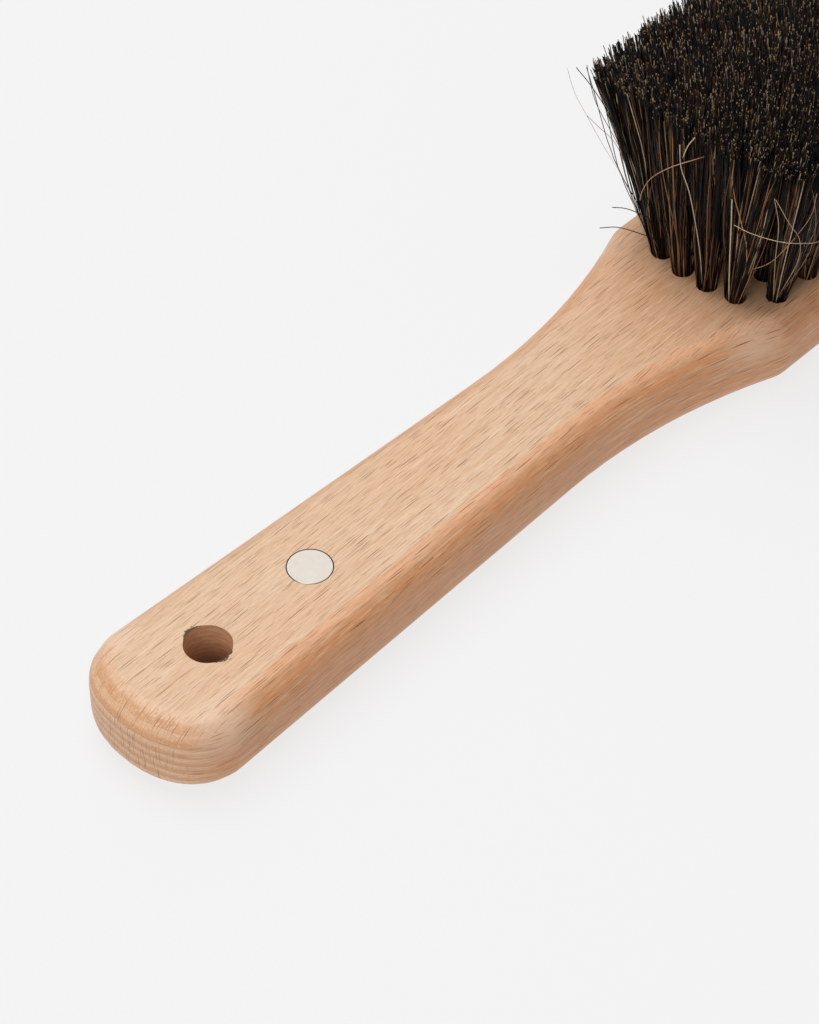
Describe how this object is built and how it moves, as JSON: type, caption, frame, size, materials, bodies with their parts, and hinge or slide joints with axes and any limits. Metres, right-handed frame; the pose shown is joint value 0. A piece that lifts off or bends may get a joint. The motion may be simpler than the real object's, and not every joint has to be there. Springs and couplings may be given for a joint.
{
  "type": "clothes brush",
  "caption": "Long-handled wooden clothes brush with flared dark horsehair tufts, a hang hole and a flush metal disc in the handle.",
  "frame": {"origin": "under the middle of the brush's bounding box, on the flat back it lies on with the bristles up", "axes": "+X along the handle towards the head, +Z out of the bristle side, along the hang hole"},
  "size_m": [0.265, 0.0472, 0.051],
  "materials": {
    "beech": "satin, bare sanded beech",
    "nickel": "satin nickel plate",
    "wire": "drawn wire",
    "horsehair": "natural dark horsehair, cut ends"
  },
  "bodies": {
    "root": {"brush_body": "beech", "disc_magnet": "nickel", "tuft_anchors": "wire", "tuft_row_01": "horsehair", "tuft_row_02": "horsehair", "tuft_row_03": "horsehair", "tuft_row_04": "horsehair", "tuft_row_05": "horsehair", "tuft_row_06": "horsehair", "tuft_row_07": "horsehair", "tuft_row_08": "horsehair", "tuft_row_09": "horsehair", "tuft_row_10": "horsehair", "tuft_row_11": "horsehair", "tuft_row_12": "horsehair", "tuft_row_13": "horsehair", "tuft_row_14": "horsehair", "tuft_row_15": "horsehair", "tuft_row_16": "horsehair", "tuft_pair_01": "horsehair", "tuft_pair_02": "horsehair", "tuft_pair_03": "horsehair", "tuft_pair_04": "horsehair", "tuft_pair_05": "horsehair", "tuft_pair_06": "horsehair", "tuft_pair_07": "horsehair", "tuft_pair_08": "horsehair", "tuft_pair_09": "horsehair", "tuft_pair_10": "horsehair", "tuft_pair_11": "horsehair", "tuft_pair_12": "horsehair", "tuft_pair_13": "horsehair", "tuft_pair_14": "horsehair"}
  },
  "joints": []
}
